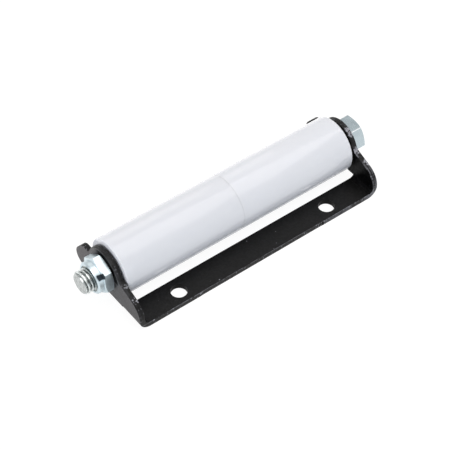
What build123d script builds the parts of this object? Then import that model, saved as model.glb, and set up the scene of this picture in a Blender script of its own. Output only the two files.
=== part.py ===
from build123d import *
import os
from math import acos, atan2, cos, degrees, radians, sin, sqrt, tan

# Slide-out roller for the sill of a recreational vehicle.
# One folded steel bracket carries a hex bolt between its two ears, held by a
# lock nut with a nylon ring. Two plain half rollers turn freely on the bolt.
# Frame: X along the bolt towards its head, Y from the front edge of the strip to
# the rear, Z up. Origin midway between the two mounting holes, on the mounting
# face. The pieces are drawn with Y counted from the front edge of the strip, and
# moved to the origin last. All sizes are in millimetres and degrees.

# Bracket, folded from one sheet
bracket_length = 153.4
sheet = 3.04
bend_inner_r = 3.0
strip_width = 15.4
edge_break = 0.2

# Shallow relief along the front edge of the strip
relief_length = 77.5
relief_depth = 0.25
relief_ramp = 1.5

# Mounting holes in the strip
mount_spacing = 96.0
mount_hole_d = 8.7
mount_hole_y = 7.5

# Ear outline, seen along the bolt
free_edge_z = 4.0
axle_y = 30.5
axle_z = 17.3
lobe_r = 13.0
ear_front_r = 11.0
ear_slope = 21.0
front_neck_r = 5.0
tail_neck_r = 3.0
shoulder_y = 47.6
shoulder_z = 14.2
shoulder_r = 5.0
tail_y = 50.0
tail_r = 5.8
ear_hole_clearance = 0.4

# Hex bolt, half inch with 13 threads to the inch
bolt_d = 12.7
bolt_past_nut = 5.7
thread_length = 38.1
thread_root_d = 10.6
bolt_point = 1.0
wrench_size = 18.8
head_height = 8.4
washer_face_height = 0.4
hex_chamfer_angle = 25.0
hex_chamfer_share = 0.95
head_turn = 5.0

# Lock nut with a nylon ring under the lip of its collar
nut_hex_height = 5.4
collar_height = 3.2
collar_d = 17.4
collar_wall = 1.1
collar_chamfer = 0.7
lip_thickness = 0.7
lip_opening_d = 14.2
nut_turn = 39.0
thread_clearance = 0.05

# Half rollers, pushed along the bolt towards the nut
roller_d = 31.4
nut_end_gap = 0.3
head_end_gap = 1.95
roller_seam_gap = 0.2
roller_end_break = 0.8
roller_seam_break = 0.2
bore_chamfer = 0.8
running_clearance = 0.09

# Worked out from the sizes above
half_length = bracket_length / 2
ear_inner_x = half_length - sheet
ear_bottom = bend_inner_r + sheet
nut_height = nut_hex_height + collar_height
bolt_length = bracket_length + nut_height + bolt_past_nut
ear_hole_d = bolt_d + 2 * ear_hole_clearance
nut_bore_d = thread_root_d + 2 * thread_clearance
roller_bore_d = bolt_d + 2 * running_clearance
roller_length = (2 * ear_inner_x - nut_end_gap - head_end_gap - roller_seam_gap) / 2
seam_left_x = nut_end_gap + roller_length - ear_inner_x
lobe_centre = Vector(axle_y, axle_z)
shoulder_centre = Vector(shoulder_y, shoulder_z)
tail_centre = Vector(tail_y, free_edge_z + tail_r)


def toward(start, end):
    """Angle of the line from one point to another."""
    return degrees(atan2(end.Y - start.Y, end.X - start.X))


def swept(start_angle, end_angle, clockwise):
    """Signed size of an arc that runs from one angle to another."""
    turn = (end_angle - start_angle) % 360
    return turn - 360 if clockwise else turn


def neck_between_lobes(first, first_r, second, second_r, neck_r):
    """Centre of the hollow arc that joins two round lobes along their top."""
    span = second - first
    near = first_r + neck_r
    far = second_r + neck_r
    along = (near**2 - far**2 + span.length**2) / (2 * span.length)
    unit = span.normalized()
    return first + unit * along + Vector(-unit.Y, unit.X) * sqrt(near**2 - along**2)


def outer_tangent(first, first_r, second, second_r):
    """Angle at which the common outer line of two circles touches both, on their rear side."""
    span = second - first
    return toward(first, second) + degrees(acos((first_r - second_r) / span.length))


def neck_after_slope(start, slope, lobe, lobe_radius, neck_r):
    """Centre of the hollow arc that joins a rising edge to a round lobe."""
    run = Vector(cos(radians(slope)), sin(radians(slope)))
    raised = start + Vector(-run.Y, run.X) * neck_r - lobe
    half = raised.dot(run)
    length = -half - sqrt(half**2 - raised.length**2 + (lobe_radius + neck_r) ** 2)
    return lobe + raised + run * length


def ear_face():
    """Outline of one ear, drawn with Y to the right and Z up."""
    front_centre = Vector(ear_front_r, ear_bottom)
    slope_normal = Vector(-sin(radians(ear_slope)), cos(radians(ear_slope)))
    slope_start = front_centre + slope_normal * ear_front_r
    front_neck = neck_after_slope(slope_start, ear_slope, lobe_centre, lobe_r, front_neck_r)
    slope_end = front_neck - slope_normal * front_neck_r
    tail_neck = neck_between_lobes(lobe_centre, lobe_r, shoulder_centre, shoulder_r, tail_neck_r)

    lobe_from = toward(lobe_centre, front_neck)
    lobe_to = toward(lobe_centre, tail_neck)
    shoulder_from = toward(shoulder_centre, tail_neck)
    back_angle = outer_tangent(shoulder_centre, shoulder_r, tail_centre, tail_r)
    back_normal = Vector(cos(radians(back_angle)), sin(radians(back_angle)))
    neck_from = toward(front_neck, slope_end)
    dip_from = toward(tail_neck, lobe_centre)
    outline = [
        CenterArc(front_centre, ear_front_r, 180, swept(180, 90 + ear_slope, True)),
        Line(slope_start, slope_end),
        CenterArc(front_neck, front_neck_r, neck_from,
                  swept(neck_from, toward(front_neck, lobe_centre), False)),
        CenterArc(lobe_centre, lobe_r, lobe_from, swept(lobe_from, lobe_to, True)),
        CenterArc(tail_neck, tail_neck_r, dip_from,
                  swept(dip_from, toward(tail_neck, shoulder_centre), False)),
        CenterArc(shoulder_centre, shoulder_r, shoulder_from,
                  swept(shoulder_from, back_angle, True)),
        Line(shoulder_centre + back_normal * shoulder_r, tail_centre + back_normal * tail_r),
        CenterArc(tail_centre, tail_r, back_angle, swept(back_angle, -90, True)),
        Line(tail_centre - Vector(0, tail_r), Vector(strip_width, free_edge_z)),
        Line(Vector(strip_width, free_edge_z), Vector(strip_width, ear_bottom)),
        Line(Vector(strip_width, ear_bottom), Vector(0, ear_bottom)),
    ]
    return make_face(outline)


def folded_sheet(width, height):
    """Strip with both ends bent up, as wide as the blank and open at the top."""
    outer = Pos(0, height / 2) * Rectangle(bracket_length, height)
    outer = fillet(outer.vertices().group_by(Axis.Y)[0], bend_inner_r + sheet)
    inner = Pos(0, sheet + height / 2) * Rectangle(2 * ear_inner_x, height)
    inner = fillet(inner.vertices().group_by(Axis.Y)[0], bend_inner_r)
    return extrude(Plane.XZ * (outer - inner), amount=-width)


def relief_cut():
    """Long shallow notch with ramped ends in the front edge of the strip."""
    half = relief_length / 2
    notch = Polyline(
        (-half - relief_ramp, 0), (-half, relief_depth), (half, relief_depth),
        (half + relief_ramp, 0), (half + relief_ramp, -relief_depth),
        (-half - relief_ramp, -relief_depth), close=True,
    )
    return extrude(make_face(notch), amount=sheet)


def make_strip():
    """Mounting strip with the bend at each end, its front edges broken."""
    bends = Pos(0, strip_width / 2, ear_bottom / 2) * Box(bracket_length, strip_width, ear_bottom)
    strip = folded_sheet(strip_width, axle_z) & bends
    front = strip.edges().filter_by(lambda edge: edge.bounding_box().max.Y < 0.01)
    return chamfer(front.filter_by(lambda edge: edge.length > sheet + 0.01), edge_break)


def is_rim(edge):
    """True for an edge of the ear's outline, apart from those against the strip."""
    box = edge.bounding_box()
    against_strip = edge.center().Y < strip_width + 0.01 and box.max.Z < ear_bottom + 0.01
    return box.size.X < 0.01 and not against_strip


def make_ear():
    """Flat ear with its outline edges broken, its inner face at X = 0."""
    ear = extrude(Plane.YZ * ear_face(), amount=sheet)
    return chamfer(ear.edges().filter_by(is_rim), edge_break)


def make_bracket():
    """One sheet: a narrow strip with two holes and an ear bent up at each end."""
    ear = make_ear()
    bracket = make_strip() + Pos(-half_length, 0, 0) * ear + Pos(ear_inner_x, 0, 0) * ear
    bracket -= relief_cut()
    for x in (-mount_spacing / 2, mount_spacing / 2):
        bracket -= Pos(x, mount_hole_y, sheet / 2) * Cylinder(mount_hole_d / 2, 2 * sheet)
    ear_holes = Plane.YZ * Pos(axle_y, axle_z) * Circle(ear_hole_d / 2)
    return bracket - extrude(ear_holes, amount=half_length + sheet, both=True)


def spin(profile):
    """Solid of revolution about the local Z axis, from radius and height points."""
    face = make_face(Plane.XZ * Polyline(*profile, close=True))
    return revolve(face, Axis.Z)


def chamfered_hex(height, turn, both_ends):
    """Hexagon block with its corners turned off at the top, or at both ends."""
    corner_r = wrench_size / sqrt(3)
    face_r = hex_chamfer_share * wrench_size / 2
    drop = (corner_r - face_r) * tan(radians(hex_chamfer_angle))
    foot = [(face_r, 0), (corner_r, drop)] if both_ends else [(corner_r, 0)]
    turned = spin([(0, 0), *foot, (corner_r, height - drop), (face_r, height), (0, height)])
    hexagon = Rot(0, 0, turn) * RegularPolygon(wrench_size / 2, 6, major_radius=False)
    return extrude(hexagon, amount=height) & turned


def make_bolt():
    """Hex bolt lying along X, its head against the right ear."""
    head = Cylinder(washer_face_r, washer_face_height, align=STANDING)
    head += Pos(0, 0, washer_face_height) * chamfered_hex(
        head_height - washer_face_height, head_turn, False)
    shank_r = bolt_d / 2
    root_r = thread_root_d / 2
    runout = shank_r - root_r
    thread_top = bolt_length - thread_length
    shank = spin([
        (0, 0), (shank_r, 0), (shank_r, -thread_top), (root_r, -thread_top - runout),
        (root_r, -bolt_length + bolt_point), (root_r - bolt_point, -bolt_length),
        (0, -bolt_length),
    ])
    return BOLT_PLACE * (head + shank)


def make_nut():
    """Hex nut with a round collar, hollow inside for its nylon ring."""
    collar_r = collar_d / 2
    pocket_r = collar_r - collar_wall
    collar = Pos(0, 0, nut_hex_height) * Cylinder(collar_r, collar_height, align=STANDING)
    collar = chamfer(collar.edges().group_by(Axis.Z)[-1], collar_chamfer)
    nut = chamfered_hex(nut_hex_height, nut_turn, True) + collar
    nut -= Cylinder(nut_bore_d / 2, nut_height, align=STANDING)
    nut -= Pos(0, 0, nut_hex_height) * Cylinder(
        pocket_r, collar_height - lip_thickness, align=STANDING)
    nut -= Pos(0, 0, nut_hex_height) * Cylinder(lip_opening_d / 2, collar_height, align=STANDING)
    return NUT_PLACE * nut


def make_insert():
    """Nylon ring that fills the pocket in the collar of the nut."""
    height = collar_height - lip_thickness
    ring = Cylinder(collar_d / 2 - collar_wall, height, align=STANDING)
    ring -= Cylinder(nut_bore_d / 2, height, align=STANDING)
    return NUT_PLACE * Pos(0, 0, nut_hex_height) * ring


def make_roller():
    """Plain plastic roller along Z, bored for the bolt, from its seam end to its ear end."""
    tube = Cylinder(roller_d / 2, roller_length, align=STANDING)
    tube = chamfer(tube.edges().group_by(Axis.Z)[0], roller_seam_break)
    tube = chamfer(tube.edges().group_by(Axis.Z)[-1], roller_end_break)
    tube -= Cylinder(roller_bore_d / 2, roller_length, align=STANDING)
    mouths = tube.edges().filter_by(
        lambda edge: edge.geom_type == GeomType.CIRCLE and edge.radius < roller_bore_d / 2 + 0.01)
    return chamfer(mouths, bore_chamfer)


def along_bolt(x, toward_right=True):
    """Place on the bolt's axis whose local Z runs along X."""
    return Plane(origin=(x, axle_y, axle_z), x_dir=(0, 1, 0), z_dir=(1 if toward_right else -1, 0, 0))


STANDING = (Align.CENTER, Align.CENTER, Align.MIN)
washer_face_r = hex_chamfer_share * wrench_size / 2
BOLT_PLACE = along_bolt(half_length)
NUT_PLACE = along_bolt(-half_length, toward_right=False)
roller = make_roller()

nodes = {
    "bracket": make_bracket(),
    "axle_bolt": make_bolt(),
    "lock_nut": make_nut(),
    "nut_insert": make_insert(),
    "roller_left": along_bolt(seam_left_x, toward_right=False) * roller,
    "roller_right": along_bolt(seam_left_x + roller_seam_gap) * roller,
}

os.makedirs("parts", exist_ok=True)
to_origin = Pos(0, -mount_hole_y, 0)
for name, solid in nodes.items():
    export_step(to_origin * solid, f"parts/{name}.step")
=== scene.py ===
import math

import bpy
from mathutils import Matrix, Vector


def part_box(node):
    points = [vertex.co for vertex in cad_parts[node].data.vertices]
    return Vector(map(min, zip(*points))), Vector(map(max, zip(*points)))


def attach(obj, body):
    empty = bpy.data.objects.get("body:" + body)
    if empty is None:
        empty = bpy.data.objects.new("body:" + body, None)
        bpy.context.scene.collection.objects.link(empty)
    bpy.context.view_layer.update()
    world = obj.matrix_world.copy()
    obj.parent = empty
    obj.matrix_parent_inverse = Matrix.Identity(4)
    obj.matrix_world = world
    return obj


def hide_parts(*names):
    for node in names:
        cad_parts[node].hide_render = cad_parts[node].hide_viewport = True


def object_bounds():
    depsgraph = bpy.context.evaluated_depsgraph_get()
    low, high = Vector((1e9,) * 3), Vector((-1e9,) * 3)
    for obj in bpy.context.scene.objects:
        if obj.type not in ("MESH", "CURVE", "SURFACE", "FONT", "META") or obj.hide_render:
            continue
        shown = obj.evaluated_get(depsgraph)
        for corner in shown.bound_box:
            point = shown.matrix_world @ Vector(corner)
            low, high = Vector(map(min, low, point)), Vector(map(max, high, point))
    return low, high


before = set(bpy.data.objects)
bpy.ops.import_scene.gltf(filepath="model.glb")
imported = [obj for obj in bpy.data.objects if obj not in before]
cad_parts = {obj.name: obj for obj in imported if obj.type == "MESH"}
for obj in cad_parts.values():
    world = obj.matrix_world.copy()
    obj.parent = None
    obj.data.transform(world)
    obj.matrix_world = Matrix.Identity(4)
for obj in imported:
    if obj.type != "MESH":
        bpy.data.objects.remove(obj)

bl_info = {
    "name": "Slide-out Roller",
    "version": (1, 0, 0),
    "blender": (4, 5, 0),
    "location": "View3D > Sidebar > Slide-out Roller",
    "description": "Dresses the slide-out roller: bracket, half rollers, bolt and lock nut",
    "category": "Object",
}

MM = 0.001
CAD_BOX = [list(corner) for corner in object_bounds()]

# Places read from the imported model
BRACKET_LOW, BRACKET_HIGH = (Vector(corner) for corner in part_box("bracket"))
ROLLER_LOW, ROLLER_HIGH = (Vector(corner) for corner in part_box("roller_left"))
BOLT_LOW = Vector(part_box("axle_bolt")[0])
NUT_LOW = Vector(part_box("lock_nut")[0])
AXIS_Y = (ROLLER_LOW.y + ROLLER_HIGH.y) / 2
AXIS_Z = (ROLLER_LOW.z + ROLLER_HIGH.z) / 2

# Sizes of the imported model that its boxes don't give
BORE_R = 6.44 * MM
SHEET = 3.04 * MM
BEND_TOP = 6.04 * MM
STRIP_WIDTH = 15.4 * MM
HOLE_X = 48.0 * MM
HOLE_R = 4.35 * MM
RELIEF_END = 38.75 * MM

# Roundings of the edges
BRACKET_EDGE = 0.09 * MM
BOLT_EDGE = 0.18 * MM
NUT_EDGE = 0.22 * MM
ROLLER_EAR_END = 0.5 * MM
ROLLER_SEAM_END = 0.06 * MM
ROLLER_BORE_END = 0.8 * MM

# How much further than its solid a half roller reaches at the seam, and less far at its ear
PAST_SEAM = 0.08 * MM
SHORT_OF_EAR = 0.5 * MM

# Thread, in turns: how many are made, how many of them lie before the end of the bolt, and
# where in each turn the root ends and the crest starts and ends
THREAD_TURNS = 6
TURNS_BEFORE_BOLT = 1.8
ROOT_END, CREST_START, CREST_END = 0.22, 0.56, 0.66

# Thread: what the blank cuts off its crests, the bevel of the blank, how far the blank stands
# out past the solid, and how far the thread and its blank go on inside the nut
CREST_SPARE = 0.25 * MM
THREAD_BEVEL = 1.05 * MM
PAST_BOLT_END = 0.03 * MM
INTO_NUT = 0.8 * MM
BLANK_INTO_NUT = 2.0 * MM

# Steps round what is turned, and the distance within which points are merged
THREAD_STEPS = 96
ROLLER_STEPS = 144
MERGE_DISTANCE = 0.002 * MM

# Places on the rims of the sheet where the paint is rubbed to the steel, some of them painted
# glints, and how wide, in mm
RUBBED_AND_GLINT_PLACES = (
    ((75.4, 17.8, 28.8), 2.2), ((75.7, 15.2, 27.4), 2.2), ((75.6, 9.6, 20.0), 3.2),
    ((76.1, 2.5, 17.5), 1.8), ((76.2, 0.8, 16.1), 2.0), ((76.3, -0.6, 15.0), 1.4),
    ((76.0, -5.5, 6.5), 1.8), ((-74.4, 0.2, 16.8), 1.3), ((-74.2, -1.5, 15.3), 1.3),
    ((-74.6, 6.9, 18.9), 2.0), ((-74.9, 1.7, 19.4), 1.4), ((-75.4, -5.2, 8.6), 1.1),
    ((-75.2, 16.9, 30.2), 1.2), ((-39.6, -7.4, 2.8), 2.0), ((39.6, -7.4, 2.8), 1.8),
)

# Middle of the painted dark reflection on a facet of the lock nut in mm, and the way in which it
# runs
DARK_REFLECTION_MIDDLE = (-82.9, 15.8, 23.15)
FACET_RUN_Y, FACET_RUN_Z = -0.629, -0.777

# Radius from which the corners of the bolt's head are rubbed bright, with a painted highlight
# along them, and how much darker than the nut the bolt is plated
HEAD_CORNER_R = 10.76 * MM
BOLT_SHADE = 0.84

# Radius of the painted shadow of the nut, an arc on the ear over the nut, and how softly it ends
NUT_SHADOW_R = 12.0 * MM
NUT_SHADOW_FADE = 0.5 * MM

# Fixed colours
WHITE = (1.0, 1.0, 1.0)
RUBBED_AND_HIGHLIT_ZINC = (0.9, 0.93, 0.95)
PAINTED_REFLECTION_SHADE = (0.035, 0.045, 0.055)
THREAD_ROOT_COLOUR = (0.03, 0.04, 0.045)


# Shader tools

class Value:
    """A shader socket that takes part in arithmetic by adding Math nodes."""

    def __init__(self, paint, socket):
        self.paint = paint
        self.socket = socket

    def __add__(self, other):
        return self.paint.math("ADD", self, other)

    def __sub__(self, other):
        return self.paint.math("SUBTRACT", self, other)

    def __rsub__(self, other):
        return self.paint.math("SUBTRACT", other, self)

    def __mul__(self, other):
        return self.paint.math("MULTIPLY", self, other)

    def __truediv__(self, other):
        return self.paint.math("DIVIDE", self, other)

    def __pow__(self, other):
        return self.paint.math("POWER", self, other)

    def __abs__(self):
        return self.paint.math("ABSOLUTE", self)

    __radd__ = __add__


class Paint:
    """The nodes of one material or world, built one by one."""

    def __init__(self, owner):
        self.owner = owner
        owner.use_nodes = True
        self.tree = owner.node_tree
        self.tree.nodes.clear()

    def node(self, kind, settings=None, out=0, **inputs):
        """Adds a node, sets its settings, then its sockets, and returns one of its outputs."""
        node = self.tree.nodes.new(kind)
        for name, value in (settings or {}).items():
            setattr(node, name, value)
        for name, value in inputs.items():
            self.feed(self.find(node, name), value)
        return Value(self, node.outputs[out])

    @staticmethod
    def find(node, name):
        """An input by its name with underscores, or by its number after the letter i."""
        if name[0] == "i" and name[1:].isdigit():
            return node.inputs[int(name[1:])]
        wanted = name.replace("_", " ")
        return next(socket for socket in node.inputs if socket.name == wanted and socket.enabled)

    def feed(self, socket, value):
        """Links a socket to a value, or sets it. A colour comes without its alpha."""
        if isinstance(value, Value):
            self.tree.links.new(value.socket, socket)
        elif socket.type == "RGBA":
            socket.default_value = (*value, 1.0)
        else:
            socket.default_value = value

    def math(self, operation, *values):
        return self.node("ShaderNodeMath", {"operation": operation},
                         **{f"i{index}": value for index, value in enumerate(values)})

    def step(self, value, start, end):
        """0 before start and 1 after end, smoothly between."""
        return self.node("ShaderNodeMapRange", {"interpolation_type": "SMOOTHSTEP"},
                         Value=value, From_Min=start, From_Max=end)

    def fade(self, value, start, end):
        """1 before start and 0 after end, smoothly between."""
        return 1.0 - self.step(value, start, end)

    def place(self):
        """Object coordinates in metres."""
        return self.node("ShaderNodeTexCoord", out="Object")

    def split(self, vector):
        """The three numbers of a vector."""
        node = self.node("ShaderNodeSeparateXYZ", Vector=vector).socket.node
        return [Value(self, output) for output in node.outputs]

    def distance(self, place, point):
        return self.node("ShaderNodeVectorMath", {"operation": "DISTANCE"}, out="Value",
                         i0=place, i1=point)

    def around(self, place, point, radius):
        """1 close to a point and 0 from the radius on."""
        return self.fade(self.distance(place, point), radius * 0.35, radius)

    def from_axis(self, place):
        """Distance from the bolt's axis."""
        _, y, z = self.split(place)
        return ((y - AXIS_Y) ** 2.0 + (z - AXIS_Z) ** 2.0) ** 0.5

    def noise(self, place, scale, detail=3.0, roughness=0.6):
        return self.node("ShaderNodeTexNoise", Vector=place, Scale=scale, Detail=detail,
                         Roughness=roughness)

    def grain(self, place):
        """The finest marks in paint and plating."""
        return self.noise(place, scale=1500.0)

    def blend(self, factor, first, second):
        """Mix of two colours."""
        return self.node("ShaderNodeMix", {"data_type": "RGBA"}, out=2,
                         i0=factor, i6=first, i7=second)

    def bump(self, height, strength, distance):
        return self.node("ShaderNodeBump", Height=height, Strength=strength, Distance=distance)

    def surface(self, **sockets):
        return self.node("ShaderNodeBsdfPrincipled", **sockets)

    def mix(self, factor, first, second):
        """Mix of two shaders."""
        return self.node("ShaderNodeMixShader", i0=factor, i1=first, i2=second)

    def by_ray(self, ray, others, these):
        """One shader for rays of a kind, such as Is Camera Ray, and one for all others."""
        return self.mix(self.node("ShaderNodeLightPath", out=ray), others, these)

    def finish(self, shader, end="ShaderNodeOutputMaterial"):
        """Links the last shader to the output and returns the finished material or world."""
        self.feed(self.tree.nodes.new(end).inputs["Surface"], shader)
        return self.owner


def new_paint(name):
    return Paint(bpy.data.materials.new(name))


# Colours and sizes that a user would change

class RollerLooks(bpy.types.PropertyGroup):
    paint_colour: bpy.props.FloatVectorProperty(
        name="Bracket paint", description="Colour of the bracket's black paint",
        default=(0.0028, 0.0028, 0.003), subtype="COLOR", min=0.0, max=1.0)
    plastic_colour: bpy.props.FloatVectorProperty(
        name="Roller plastic", description="Colour of the white half rollers",
        default=(0.80, 0.825, 0.88), subtype="COLOR", min=0.0, max=1.0)
    zinc_colour: bpy.props.FloatVectorProperty(
        name="Zinc plating", description="Colour of the plated bolt and nut",
        default=(0.55, 0.64, 0.68), subtype="COLOR", min=0.0, max=1.0)
    thread_colour: bpy.props.FloatVectorProperty(
        name="Thread plating", description="Colour of the plating on the cut thread",
        default=(0.60, 0.64, 0.635), subtype="COLOR", min=0.0, max=1.0)
    worn_colour: bpy.props.FloatVectorProperty(
        name="Worn edge", description="Colour of the steel where the paint is rubbed off",
        default=(0.42, 0.43, 0.48), subtype="COLOR", min=0.0, max=1.0)
    # Dust and painted light: the outer faces of the ears are made lighter for the light that
    # falls on them, with a dusty grain
    dust_and_light_colour: bpy.props.FloatVectorProperty(
        name="Dust and painted light", description="Colour of the greyer paint on the ears' outer faces",
        default=(0.058, 0.055, 0.060), subtype="COLOR", min=0.0, max=1.0)
    nylon_colour: bpy.props.FloatVectorProperty(
        name="Nylon ring", description="Colour of the ring in the lock nut",
        default=(0.62, 0.66, 0.64), subtype="COLOR", min=0.0, max=1.0)
    thread_pitch: bpy.props.FloatProperty(
        name="Thread pitch", description="Distance from one thread to the next",
        default=25.4 / 13 * MM, unit="LENGTH", precision=5)
    thread_diameter: bpy.props.FloatProperty(
        name="Thread diameter", description="Diameter over the crests of the thread",
        default=12.6 * MM, unit="LENGTH", precision=5)
    thread_root_diameter: bpy.props.FloatProperty(
        name="Thread root diameter", description="Diameter at the bottom of the thread",
        default=10.7 * MM, unit="LENGTH", precision=5)


class StudioLooks(bpy.types.PropertyGroup):
    azimuth: bpy.props.FloatProperty(
        name="Camera azimuth", description="Angle of the camera to the left of the front",
        default=math.radians(38.19), subtype="ANGLE")
    elevation: bpy.props.FloatProperty(
        name="Camera elevation", description="Angle of the camera above the horizon",
        default=math.radians(47.65), subtype="ANGLE")
    roll: bpy.props.FloatProperty(
        name="Camera roll", description="Turn of the camera about its own line of sight",
        default=math.radians(0.78), subtype="ANGLE")
    distance: bpy.props.FloatProperty(
        name="Camera distance", description="Distance from the camera to what it looks at",
        default=0.77882, unit="LENGTH")
    target: bpy.props.FloatVectorProperty(
        name="Camera target", description="Point that the camera looks at",
        default=(0.0, 0.02141, 0.00191), subtype="TRANSLATION", unit="LENGTH")
    lens: bpy.props.FloatProperty(
        name="Camera lens", description="Focal length on a 36 mm wide frame",
        default=119.82, unit="CAMERA")
    shift: bpy.props.FloatVectorProperty(
        name="Camera shift", description="Offset of the frame, as a share of its width",
        default=(-0.00887, -0.00207), size=2)
    world_strength: bpy.props.FloatProperty(
        name="World strength", description="Brightness of the even light all round", default=0.48)
    room_strength: bpy.props.FloatProperty(
        name="Room strength", description="Brightness of the room in reflections", default=0.75)


def looks():
    return bpy.context.scene.roller_looks


def studio():
    return bpy.context.scene.roller_studio


# Finishes

def black_paint(name, gloss):
    """Satin black paint on the faces of the sheet, with fine grain and a few specks. It is
    lighter and dusty on the outer faces of the ears, dust with painted light, and has a painted
    shadow of the nut in an arc on the ear over it."""
    paint = new_paint(name)
    place = paint.place()
    x, y, z = paint.split(place)
    black = Vector(looks().paint_colour)

    cloud = paint.noise(place, scale=90.0, detail=4.0, roughness=0.55)
    grain = paint.grain(place)
    mottle = paint.step(paint.noise(place, scale=700.0, detail=2.0, roughness=0.7), 0.40, 0.62)
    cells = paint.node("ShaderNodeTexVoronoi", Vector=place, Scale=260.0)
    sparse = paint.step(paint.noise(place, scale=150.0, detail=1.0, roughness=0.5), 0.62, 0.72)
    speck = paint.fade(cells, 0.05, 0.11) * sparse
    outside = paint.step(abs(x), BRACKET_HIGH.x - 0.4 * MM, BRACKET_HIGH.x - 0.1 * MM)
    # The outer faces of the ears are lighter: dust, and painted light for the light that falls on
    # them
    dust_and_light = outside * (0.4 + mottle * 0.25 + paint.step(grain, 0.40, 0.60) * 0.35)

    body = paint.blend(mottle, black * 0.3, black * 1.5)
    body = paint.blend(dust_and_light, body, looks().dust_and_light_colour)
    body = paint.blend(speck * 0.8, body, looks().worn_colour)
    relief = paint.bump(grain + cloud * 0.8 + mottle * 0.5, strength=0.30, distance=0.12 * MM)
    dry = paint.surface(Base_Color=body, Normal=relief, Roughness=0.32 + cloud * 0.14,
                        Specular_IOR_Level=gloss)
    # Painted shadow of the nut: a dark, hardly glossy copy of the paint, mixed in as an arc on
    # the outer face of the left ear over the front of the nut
    nut_shadow_paint = paint.surface(Base_Color=black, Roughness=0.6, Specular_IOR_Level=0.03)

    ring = paint.fade(paint.from_axis(place) + (grain - 0.5) * MM,
                      NUT_SHADOW_R, NUT_SHADOW_R + NUT_SHADOW_FADE)
    upper_front = paint.step(z, 16.4 * MM, 18.4 * MM) * paint.fade(y, 26.0 * MM, 31.0 * MM)
    nut_side = paint.fade(x, -1.0 * MM, 0.0)
    return paint.finish(paint.mix(outside * nut_side * ring * upper_front, dry, nut_shadow_paint))


def sheared_edge():
    """Thinly painted edge of the sheet, with streaks along it, lighter edges, a painted highlight
    along the top of the strip's front edge, and rubbed places that in part are painted glints.
    """
    paint = new_paint("sheared_edge")
    place = paint.place()
    x, y, z = paint.split(place)
    black = Vector(looks().paint_colour)
    steel = looks().worn_colour

    along = paint.node("ShaderNodeCombineXYZ", X=x * 1500.0, Y=y * 90.0, Z=z * 90.0)
    streak = paint.noise(along, scale=1.0)
    cloud = paint.noise(place, scale=120.0)
    fine = paint.noise(place, scale=900.0)
    # Rubbed places, which in part are painted glints on the rims and at the ends of the relief
    rubbed = sum((paint.around(place, Vector(point) * MM, radius * MM) * 1.2
                  for point, radius in RUBBED_AND_GLINT_PLACES), 0.0)
    rubbed = paint.step(rubbed + (fine - 0.5) * 4.5 + (streak - 0.5) * 3.0, 0.55, 1.25)

    # Lighter in part: the outer corner of the ears and the side of the sheet at the right end.
    # Along the lip at the top of the strip's front edge it is a painted highlight line.
    outer_corner = paint.step(abs(x) + (fine - 0.5) * 2.0 * MM,
                              BRACKET_HIGH.x - 1.7 * MM, BRACKET_HIGH.x - 1.2 * MM)
    right_front = paint.step(x, 0.0, 1.0 * MM) * paint.fade(y, 8.0 * MM, 12.0 * MM)
    ear_inside = BRACKET_HIGH.x - SHEET
    inner_half = paint.fade(abs(x), ear_inside + 0.7 * MM, ear_inside + 1.1 * MM)
    right_end = (paint.step(x, RELIEF_END + 0.05 * MM, RELIEF_END + 0.55 * MM)
                 * (0.6 + paint.step(x, 60.0 * MM, 72.0 * MM) * 0.4))
    front, top = BRACKET_LOW.y, BRACKET_LOW.z + SHEET
    lip_highlight = (paint.step(z, top - 0.42 * MM, top - 0.2 * MM)
           * paint.fade(z, top, top + 0.3 * MM)
           * paint.fade(y, front + 0.6 * MM, front + 0.9 * MM))
    lighter_and_highlit = (outer_corner * (0.05 + right_front * 0.15) + lip_highlight * 0.35
            + right_front * inner_half * right_end * 0.3)
    thin = paint.step(cloud + fine * 0.6, 0.66, 0.90)

    body = paint.blend(paint.step(streak, 0.35, 0.65), black * 0.5, black * 3.6)
    body = paint.blend(lighter_and_highlit * thin, body, steel)
    body = paint.blend(rubbed * (0.35 + streak * 0.6), body, steel)
    relief = paint.bump(streak * 1.4 + fine * 0.6, strength=0.5, distance=0.14 * MM)
    return paint.finish(paint.surface(
        Base_Color=body, Roughness=0.42 + streak * 0.16, Metallic=rubbed * 0.5, Normal=relief,
        Specular_IOR_Level=0.21))


def white_plastic():
    """Smooth white plastic, faintly marked."""
    paint = new_paint("white_plastic")
    place = paint.place()
    white = Vector(looks().plastic_colour)
    cloud = paint.noise(place, scale=45.0, roughness=0.5)
    fine = paint.noise(place, scale=700.0, detail=2.0, roughness=0.5)
    return paint.finish(paint.surface(
        Base_Color=paint.blend(cloud, white * 0.99, white * 1.01),
        Roughness=0.04 + cloud * 0.04, Normal=paint.bump(fine, strength=0.04, distance=0.04 * MM),
        Specular_IOR_Level=0.38, Subsurface_Weight=0.4, Subsurface_Radius=(1.0, 1.0, 1.0),
        Subsurface_Scale=1.2 * MM))


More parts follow.
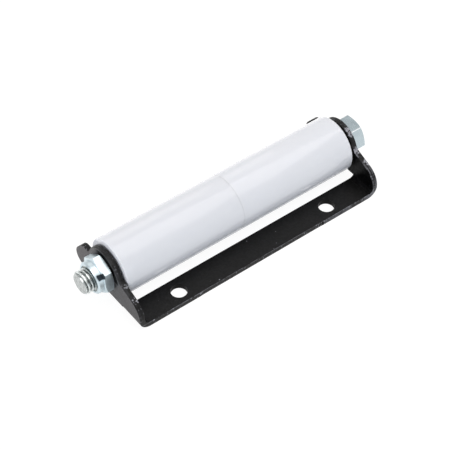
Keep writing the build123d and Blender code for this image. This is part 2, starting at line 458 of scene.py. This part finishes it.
def zinc_plate(name, tint, roughness, bright_beyond=None, dark_reflection=None):
    """Bright zinc plating, a little cloudy. Corners further from the axis than bright_beyond are
    rubbed bright, with a painted highlight along them, and the last argument is the middle of a
    painted dark reflection on a facet beside a corner of the nut."""
    paint = new_paint(name)
    place = paint.place()
    zinc = Vector(tint)
    cloud = paint.noise(place, scale=260.0, detail=4.0)
    body = paint.blend(paint.step(cloud, 0.3, 0.7), zinc * 0.93, zinc * 1.04)
    if bright_beyond:
        # Corners rubbed bright, with a painted highlight along them
        corner = paint.step(paint.from_axis(place), bright_beyond - 0.1 * MM, bright_beyond)
        body = paint.blend(corner, body, RUBBED_AND_HIGHLIT_ZINC)
    # Painted dark reflection on one facet of the nut, beside a corner
    if dark_reflection:
        x, y, z = paint.split(place)
        middle = Vector(dark_reflection) * MM
        half_side = 1.6 * MM
        along = (y - middle.y) * FACET_RUN_Y + (z - middle.z) * FACET_RUN_Z
        square = paint.math("MAXIMUM", abs(along) / half_side, abs(x - middle.x) / half_side)
        near = paint.fade(paint.distance(place, middle), 3.0 * MM, 3.6 * MM)
        facet = paint.fade(square + (cloud - 0.5) * 1.2, 0.85, 1.1) * near
        body = paint.blend(facet, body, PAINTED_REFLECTION_SHADE)
    relief = paint.bump(paint.grain(place), strength=0.12, distance=0.08 * MM)
    return paint.finish(paint.surface(
        Base_Color=body, Metallic=1.0, Roughness=roughness + cloud * 0.2, Normal=relief))


def cut_thread():
    """Plating on the cut thread, much darker at the bottom of the thread and scuffed on its end.
    """
    paint = new_paint("zinc_thread")
    place = paint.place()
    x, _, _ = paint.split(place)
    zinc = Vector(looks().thread_colour)

    cloud = paint.noise(place, scale=260.0, detail=4.0)
    scuffed = paint.step(paint.noise(place, scale=560.0), 0.43, 0.57)
    end_face = paint.fade(x, BOLT_LOW.x + 0.05 * MM, BOLT_LOW.x + 0.3 * MM)
    past_bevel = paint.step(x, BOLT_LOW.x + 0.35 * MM, BOLT_LOW.x + 0.6 * MM)
    # Much darker at the bottom of the thread
    valley = paint.fade(paint.from_axis(place), 5.4 * MM, 5.9 * MM) * past_bevel

    body = paint.blend(scuffed, zinc * 0.72, zinc * 1.05)
    body = paint.blend(end_face * (0.25 + scuffed * 0.75), body, zinc * 0.48)
    body = paint.blend(valley * (0.45 + scuffed * 0.5), body, THREAD_ROOT_COLOUR)
    relief = paint.bump(paint.grain(place), strength=0.15, distance=0.08 * MM)
    return paint.finish(paint.surface(
        Base_Color=body, Metallic=1.0, Roughness=0.14 + cloud * 0.2, Normal=relief))


def nylon():
    """Milky nylon of the ring in the lock nut."""
    paint = new_paint("nylon_ring")
    cloud = paint.noise(paint.place(), scale=300.0, roughness=0.5)
    milky = Vector(looks().nylon_colour)
    body = paint.blend(cloud, milky * 0.9, milky * 1.05)
    return paint.finish(paint.surface(Base_Color=body, Roughness=0.45))


def dress(node_name, material):
    """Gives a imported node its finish."""
    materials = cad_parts[node_name].data.materials
    materials.clear()
    materials.append(material)


# Modelling helpers

def clear_selection():
    if bpy.context.object and bpy.context.object.mode != "OBJECT":
        bpy.ops.object.mode_set(mode="OBJECT")
    bpy.ops.object.select_all(action="DESELECT")


def take_up(piece):
    """Makes a piece the only selected and the active one."""
    clear_selection()
    piece.select_set(True)
    bpy.context.view_layer.objects.active = piece


def edit_all(piece):
    """Enters edit mode with the whole piece selected."""
    take_up(piece)
    bpy.ops.object.mode_set(mode="EDIT")
    bpy.ops.mesh.select_all(action="SELECT")


def edit_some(piece, faces=None, points=None):
    """Enters edit mode with the faces or points selected that pass a test."""
    take_up(piece)
    bpy.ops.object.mode_set(mode="EDIT")
    bpy.ops.mesh.select_mode(type="FACE" if faces else "VERT")
    bpy.ops.mesh.select_all(action="DESELECT")
    bpy.ops.object.mode_set(mode="OBJECT")
    for element in piece.data.polygons if faces else piece.data.vertices:
        element.select = (faces or points)(element)
    bpy.ops.object.mode_set(mode="EDIT")


def stop_editing():
    bpy.ops.object.mode_set(mode="OBJECT")


def merged_copy(node_name, piece_name):
    """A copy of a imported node's mesh, welded and with its flat faces joined up."""
    piece = bpy.data.objects.new(piece_name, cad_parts[node_name].data.copy())
    bpy.context.scene.collection.objects.link(piece)
    piece.data.materials.clear()
    take_up(piece)
    bpy.ops.mesh.customdata_custom_splitnormals_clear()
    edit_all(piece)
    bpy.ops.mesh.remove_doubles(threshold=MERGE_DISTANCE)
    bpy.ops.mesh.dissolve_limited(angle_limit=math.radians(0.5))
    stop_editing()
    return piece


def weld(piece):
    """Merges the points of a piece that lie together."""
    edit_all(piece)
    bpy.ops.mesh.remove_doubles(threshold=MERGE_DISTANCE)
    stop_editing()


def apply_modifier(piece, kind, **settings):
    take_up(piece)
    modifier = piece.modifiers.new(kind.lower(), kind)
    for name, value in settings.items():
        setattr(modifier, name, value)
    bpy.ops.object.modifier_apply(modifier=modifier.name)


def apply_place():
    """Works the place, turn and size of the active piece into its mesh."""
    bpy.ops.object.transform_apply(location=True, rotation=True, scale=True)


def round_edges(piece, width, segments, sharper_than):
    """Rounds the edges of a piece that are sharper than an angle, and keeps its flats flat."""
    take_up(piece)
    bpy.ops.object.shade_smooth()
    apply_modifier(piece, "BEVEL", width=width, segments=segments, limit_method="ANGLE",
                   angle_limit=math.radians(sharper_than), harden_normals=True,
                   use_clamp_overlap=True)


def turned_tube(name, start, end, inner_r, outer_r, breaks):
    """A tube turned about the bolt's axis. Breaks are the roundings of its four corners:
    outer start, outer end, inner start, inner end."""
    clear_selection()
    middle = (inner_r + outer_r) / 2
    bpy.ops.mesh.primitive_plane_add(
        size=1.0, location=((start + end) / 2, AXIS_Y, AXIS_Z + middle),
        rotation=(math.pi / 2, 0.0, 0.0))
    piece = bpy.context.object
    piece.name = name
    piece.scale = (end - start, outer_r - inner_r, 1.0)
    apply_place()

    corners = ((start, outer_r), (end, outer_r), (start, inner_r), (end, inner_r))
    for (x, radius), size in zip(corners, breaks):
        corner = Vector((x, AXIS_Y, AXIS_Z + radius))
        edit_some(piece, points=lambda point: (point.co - corner).length < 0.001 * MM)
        bpy.ops.mesh.bevel(offset=size, segments=6, affect="VERTICES")
        stop_editing()

    edit_all(piece)
    bpy.ops.mesh.delete(type="ONLY_FACE")
    bpy.ops.mesh.select_all(action="SELECT")
    bpy.ops.mesh.spin(steps=ROLLER_STEPS, angle=2 * math.pi, center=(0.0, AXIS_Y, AXIS_Z),
                      axis=(1.0, 0.0, 0.0))
    bpy.ops.mesh.select_all(action="SELECT")
    bpy.ops.mesh.remove_doubles(threshold=MERGE_DISTANCE)
    bpy.ops.mesh.normals_make_consistent(inside=False)
    stop_editing()
    return piece


def settle(piece, body, slot_name, *materials, replaces=()):
    """Gives a piece its finishes and hangs it on its body."""
    for material in materials:
        piece.data.materials.append(material)
    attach(piece, body)
    if replaces:
        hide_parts(*replaces)


# Operators, one for each piece or pair

class ROLLER_OT_bracket(bpy.types.Operator):
    """Round the edges of the folded bracket and paint it black"""
    bl_idname = "roller.bracket"
    bl_label = "Bracket"

    def execute(self, context):
        shell = merged_copy("bracket", "bracket_shell")
        round_edges(shell, BRACKET_EDGE, segments=2, sharper_than=30.0)
        # The third finish, a less glossy copy of the black paint, is painted shade: it goes on
        # the walls of the mounting holes and where the ears and the right bend face the rollers
        settle(shell, "frame_body", "black_steel", black_paint("black_paint", gloss=0.24),
               sheared_edge(), black_paint("shaded_inner_paint", gloss=0.07), replaces=("bracket",))
        for slot, test in ((1, self.is_sheared), (2, self.is_inner)):
            edit_some(shell, faces=test)
            shell.active_material_index = slot
            bpy.ops.object.material_slot_assign()
            stop_editing()
        return {"FINISHED"}

    @staticmethod
    def near_hole(face):
        """True on the wall and the rims of a mounting hole."""
        from_hole = math.hypot(abs(face.center.x) - HOLE_X, face.center.y)
        return from_hole < HOLE_R + 0.3 * MM

    @classmethod
    def is_inner(cls, face):
        """True inside the mounting holes and where the ears, and the bend that is seen from
        inside, face the rollers."""
        between_ears = abs(face.center.x) < BRACKET_HIGH.x - SHEET + 0.1 * MM
        ear_inside = face.normal.x * face.center.x < 0.0 and abs(face.normal.x) > 0.9
        right_bend = face.center.x > 0.0 and face.normal.x < -0.15
        hole_wall = cls.near_hole(face) and abs(face.normal.z) < 0.8
        return hole_wall or between_ears and (right_bend or ear_inside)

    @classmethod
    def is_sheared(cls, face):
        """True for the narrow edges of the sheet, round the ears and along the strip."""
        above_bend = face.center.z > BRACKET_LOW.z + BEND_TOP
        behind_strip = face.center.y > BRACKET_LOW.y + STRIP_WIDTH + 0.1 * MM
        on_ear = (above_bend or behind_strip) and abs(face.normal.x) < 0.8
        return on_ear or abs(face.normal.y) > 0.6 and not cls.near_hole(face)


class ROLLER_OT_half_rollers(bpy.types.Operator):
    """Turn both half rollers with rounded ends"""
    bl_idname = "roller.half_rollers"
    bl_label = "Half rollers"

    def execute(self, context):
        plastic = white_plastic()
        for side in ("left", "right"):
            node = f"roller_{side}"
            low, high = (Vector(corner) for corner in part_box(node))
            if side == "left":
                start, end = low.x + SHORT_OF_EAR, high.x + PAST_SEAM
                outer = (ROLLER_EAR_END, ROLLER_SEAM_END)
            else:
                start, end = low.x - PAST_SEAM, high.x - SHORT_OF_EAR
                outer = (ROLLER_SEAM_END, ROLLER_EAR_END)
            roller = turned_tube(f"half_roller_{side}", start, end, BORE_R, (high.z - low.z) / 2,
                                 (*outer, ROLLER_BORE_END, ROLLER_BORE_END))
            take_up(roller)
            bpy.ops.object.shade_smooth_by_angle(angle=math.radians(40))
            settle(roller, f"{side}_roller_body", "white_plastic", plastic, replaces=(node,))
        return {"FINISHED"}


class ROLLER_OT_bolt(bpy.types.Operator):
    """Plate the bolt and cut its thread"""
    bl_idname = "roller.bolt"
    bl_label = "Bolt"

    def execute(self, context):
        plate = zinc_plate("zinc_bolt", Vector(looks().zinc_colour) * BOLT_SHADE,
                           roughness=0.16, bright_beyond=HEAD_CORNER_R)
        bolt = merged_copy("axle_bolt", "hex_bolt")
        round_edges(bolt, BOLT_EDGE, segments=3, sharper_than=24.0)
        settle(bolt, "frame_body", "zinc_steel", plate, replaces=("axle_bolt",))
        settle(self.make_thread(), "frame_body", "zinc_steel", cut_thread())
        return {"FINISHED"}

    def make_thread(self):
        """Thread on the end that stands out of the nut, cut from a bevelled blank."""
        pitch = looks().thread_pitch
        crest = looks().thread_diameter / 2
        root = looks().thread_root_diameter / 2
        thread = self.make_profile(pitch, root, crest + CREST_SPARE)
        thread.location = (BOLT_LOW.x - TURNS_BEFORE_BOLT * pitch, AXIS_Y, AXIS_Z)
        apply_modifier(thread, "SCREW", axis="X", screw_offset=pitch, angle=2 * math.pi,
                       steps=THREAD_STEPS, render_steps=THREAD_STEPS)
        take_up(thread)
        apply_place()
        weld(thread)
        half_turn_out = BOLT_LOW.x - 0.5 * pitch
        for x, inner in ((half_turn_out, True), (NUT_LOW.x + INTO_NUT, False)):
            edit_all(thread)
            bpy.ops.mesh.bisect(plane_co=(x, AXIS_Y, AXIS_Z), plane_no=(1.0, 0.0, 0.0),
                                use_fill=True, clear_inner=inner, clear_outer=not inner)
            stop_editing()
        edit_all(thread)
        bpy.ops.mesh.normals_make_consistent(inside=False)
        stop_editing()
        blank = self.make_blank(crest)
        apply_modifier(thread, "BOOLEAN", operation="INTERSECT", object=blank, solver="EXACT")
        bpy.data.objects.remove(blank)
        weld(thread)
        bpy.ops.object.shade_smooth_by_angle(angle=math.radians(30))
        return thread

    def make_profile(self, pitch, root, crest):
        """Line that runs up and down between root and crest, once for each turn."""
        shape = ((0.0, root), (ROOT_END, root), (CREST_START, crest), (CREST_END, crest))
        clear_selection()
        bpy.ops.mesh.primitive_grid_add(x_subdivisions=len(shape) * THREAD_TURNS,
                                        y_subdivisions=1, size=1.0)
        profile = bpy.context.object
        profile.name = "bolt_thread"
        edit_some(profile, points=lambda point: point.co.y < 0.0)
        bpy.ops.mesh.delete(type="VERT")
        stop_editing()
        points = sorted(profile.data.vertices, key=lambda point: point.co.x)
        for number, point in enumerate(points):
            turn, part = divmod(number, len(shape))
            share, radius = shape[part]
            point.co = ((turn + share) * pitch, 0.0, radius)
        return profile

    def make_blank(self, radius):
        """Plain round bar with a bevelled end, as the bolt is before it is threaded."""
        clear_selection()
        start, end = BOLT_LOW.x - PAST_BOLT_END, NUT_LOW.x + BLANK_INTO_NUT
        bpy.ops.mesh.primitive_cylinder_add(
            vertices=THREAD_STEPS, radius=radius, depth=end - start,
            location=((start + end) / 2, AXIS_Y, AXIS_Z), rotation=(0.0, math.pi / 2, 0.0))
        blank = bpy.context.object
        apply_place()
        edit_some(blank, faces=lambda face: face.normal.x < -0.9)
        bpy.ops.mesh.bevel(offset=THREAD_BEVEL, segments=1, affect="EDGES")
        stop_editing()
        return blank


class ROLLER_OT_lock_nut(bpy.types.Operator):
    """Round and plate the lock nut and colour its nylon ring"""
    bl_idname = "roller.lock_nut"
    bl_label = "Lock nut"

    def execute(self, context):
        nut = merged_copy("lock_nut", "hex_lock_nut")
        round_edges(nut, NUT_EDGE, segments=3, sharper_than=24.0)
        plate = zinc_plate("zinc_nut", looks().zinc_colour, roughness=0.26,
                           dark_reflection=DARK_REFLECTION_MIDDLE)
        settle(nut, "frame_body", "zinc_steel", plate, replaces=("lock_nut",))
        dress("nut_insert", nylon())
        return {"FINISHED"}


class ROLLER_OT_stage(bpy.types.Operator):
    """Set up the floor, the lamps and the camera"""
    bl_idname = "roller.stage"
    bl_label = "Stage"

    def execute(self, context):
        self.make_floor()
        self.make_world()
        self.make_lamps()
        self.make_camera()
        return {"FINISHED"}

    def make_floor(self):
        """White floor just under the part. It hardly shows, but it lights the part from below."""
        clear_selection()
        bpy.ops.mesh.primitive_plane_add(size=6.0, location=(0.0, 0.0, CAD_BOX[0][2] - 0.2 * MM))
        floor = bpy.context.object
        floor.name = "floor"
        paint = new_paint("pale_floor")
        lit = paint.node("ShaderNodeBsdfDiffuse", Color=(0.80, 0.80, 0.80))
        faint = paint.node("ShaderNodeBsdfDiffuse", Color=(0.16, 0.16, 0.16))
        glow = paint.node("ShaderNodeEmission", Color=WHITE, Strength=0.92)
        dim_glow = paint.node("ShaderNodeEmission", Color=WHITE, Strength=0.55)
        seen = paint.node("ShaderNodeAddShader", i0=faint, i1=glow)
        mirrored = paint.node("ShaderNodeAddShader", i0=lit, i1=dim_glow)
        shown = paint.by_ray("Is Glossy Ray", others=lit, these=mirrored)
        floor.data.materials.append(
            paint.finish(paint.by_ray("Is Camera Ray", others=shown, these=seen)))

    def make_world(self):
        """Even light all round, with white behind the object and a pale room in reflections."""
        sky = Paint(bpy.data.worlds.new("studio"))
        even, room, white = (
            sky.node("ShaderNodeBackground", Color=WHITE, Strength=strength)
            for strength in (studio().world_strength, studio().room_strength, 1.0))
        shown = sky.by_ray("Is Glossy Ray", others=even, these=room)
        shown = sky.by_ray("Is Camera Ray", others=shown, these=white)
        bpy.context.scene.world = sky.finish(shown, end="ShaderNodeOutputWorld")

    def make_lamps(self):
        """A wide softbox overhead, and smaller lamps behind, at the left and in front. Each has
        its name, place, two widths, power in watts and colour."""
        lamps = (
            ("top_lamp", (0.164, -0.081, 0.60), (0.62, 0.55), 2.04, (1.0, 0.955, 0.92)),
            ("back_lamp", (0.10, 0.80, 0.60), (0.8, 0.4), 0.9, (1.0, 0.955, 0.92)),
            ("left_lamp", (-0.85, 0.12, 0.18), (0.4, 0.4), 2.4, (1.0, 0.98, 1.0)),
            ("front_lamp", (-0.20, -0.85, 0.20), (0.8, 0.3), 0.88, (0.74, 0.87, 1.0)),
        )
        for name, place, size, power, colour in lamps:
            bpy.ops.object.light_add(type="AREA", location=place)
            lamp = bpy.context.object
            lamp.name = name
            lamp.data.shape = "RECTANGLE"
            lamp.data.size, lamp.data.size_y = size
            lamp.data.energy = power
            lamp.data.color = colour
            aim = Vector((0.0, AXIS_Y, AXIS_Z)) - Vector(place)
            lamp.rotation_euler = aim.to_track_quat("-Z", "Y").to_euler()
        bpy.data.objects["top_lamp"].rotation_euler = (0.0, 0.0, math.radians(-22.0))

    def make_camera(self):
        """Camera at the left of the front, looking down on the strip and the rollers."""
        view = studio()
        level = math.cos(view.elevation)
        aim = Vector((math.sin(view.azimuth) * level, math.cos(view.azimuth) * level,
                      -math.sin(view.elevation)))
        bpy.ops.object.camera_add(location=Vector(view.target) - aim * view.distance)
        camera = bpy.context.object
        camera.name = "camera"
        turn = aim.to_track_quat("-Z", "Y").to_matrix() @ Matrix.Rotation(view.roll, 3, "Z")
        camera.rotation_euler = turn.to_euler()
        camera.data.sensor_width = 36.0
        camera.data.lens = view.lens
        camera.data.shift_x, camera.data.shift_y = view.shift
        camera.data.dof.use_dof = False
        bpy.context.scene.camera = camera
        bpy.context.scene.view_settings.view_transform = "Standard"


class ROLLER_PT_panel(bpy.types.Panel):
    """Buttons and sizes of the slide-out roller"""
    bl_idname = "ROLLER_PT_panel"
    bl_label = "Slide-out Roller"
    bl_space_type = "VIEW_3D"
    bl_region_type = "UI"
    bl_category = "Slide-out Roller"

    def draw(self, context):
        for group in (looks(), studio()):
            box = self.layout.box()
            for name in group.__annotations__:
                box.prop(group, name)
        for operator in OPERATORS:
            self.layout.operator(operator.bl_idname)


OPERATORS = (ROLLER_OT_bracket, ROLLER_OT_half_rollers, ROLLER_OT_bolt, ROLLER_OT_lock_nut,
             ROLLER_OT_stage)
CLASSES = (RollerLooks, StudioLooks, *OPERATORS, ROLLER_PT_panel)


def register():
    for kind in CLASSES:
        bpy.utils.register_class(kind)
    bpy.types.Scene.roller_looks = bpy.props.PointerProperty(type=RollerLooks)
    bpy.types.Scene.roller_studio = bpy.props.PointerProperty(type=StudioLooks)


def unregister():
    del bpy.types.Scene.roller_studio
    del bpy.types.Scene.roller_looks
    for kind in reversed(CLASSES):
        bpy.utils.unregister_class(kind)


def main():
    register()
    bpy.ops.roller.bracket()
    bpy.ops.roller.half_rollers()
    bpy.ops.roller.bolt()
    bpy.ops.roller.lock_nut()
    bpy.ops.roller.stage()


if __name__ == "__main__":
    main()
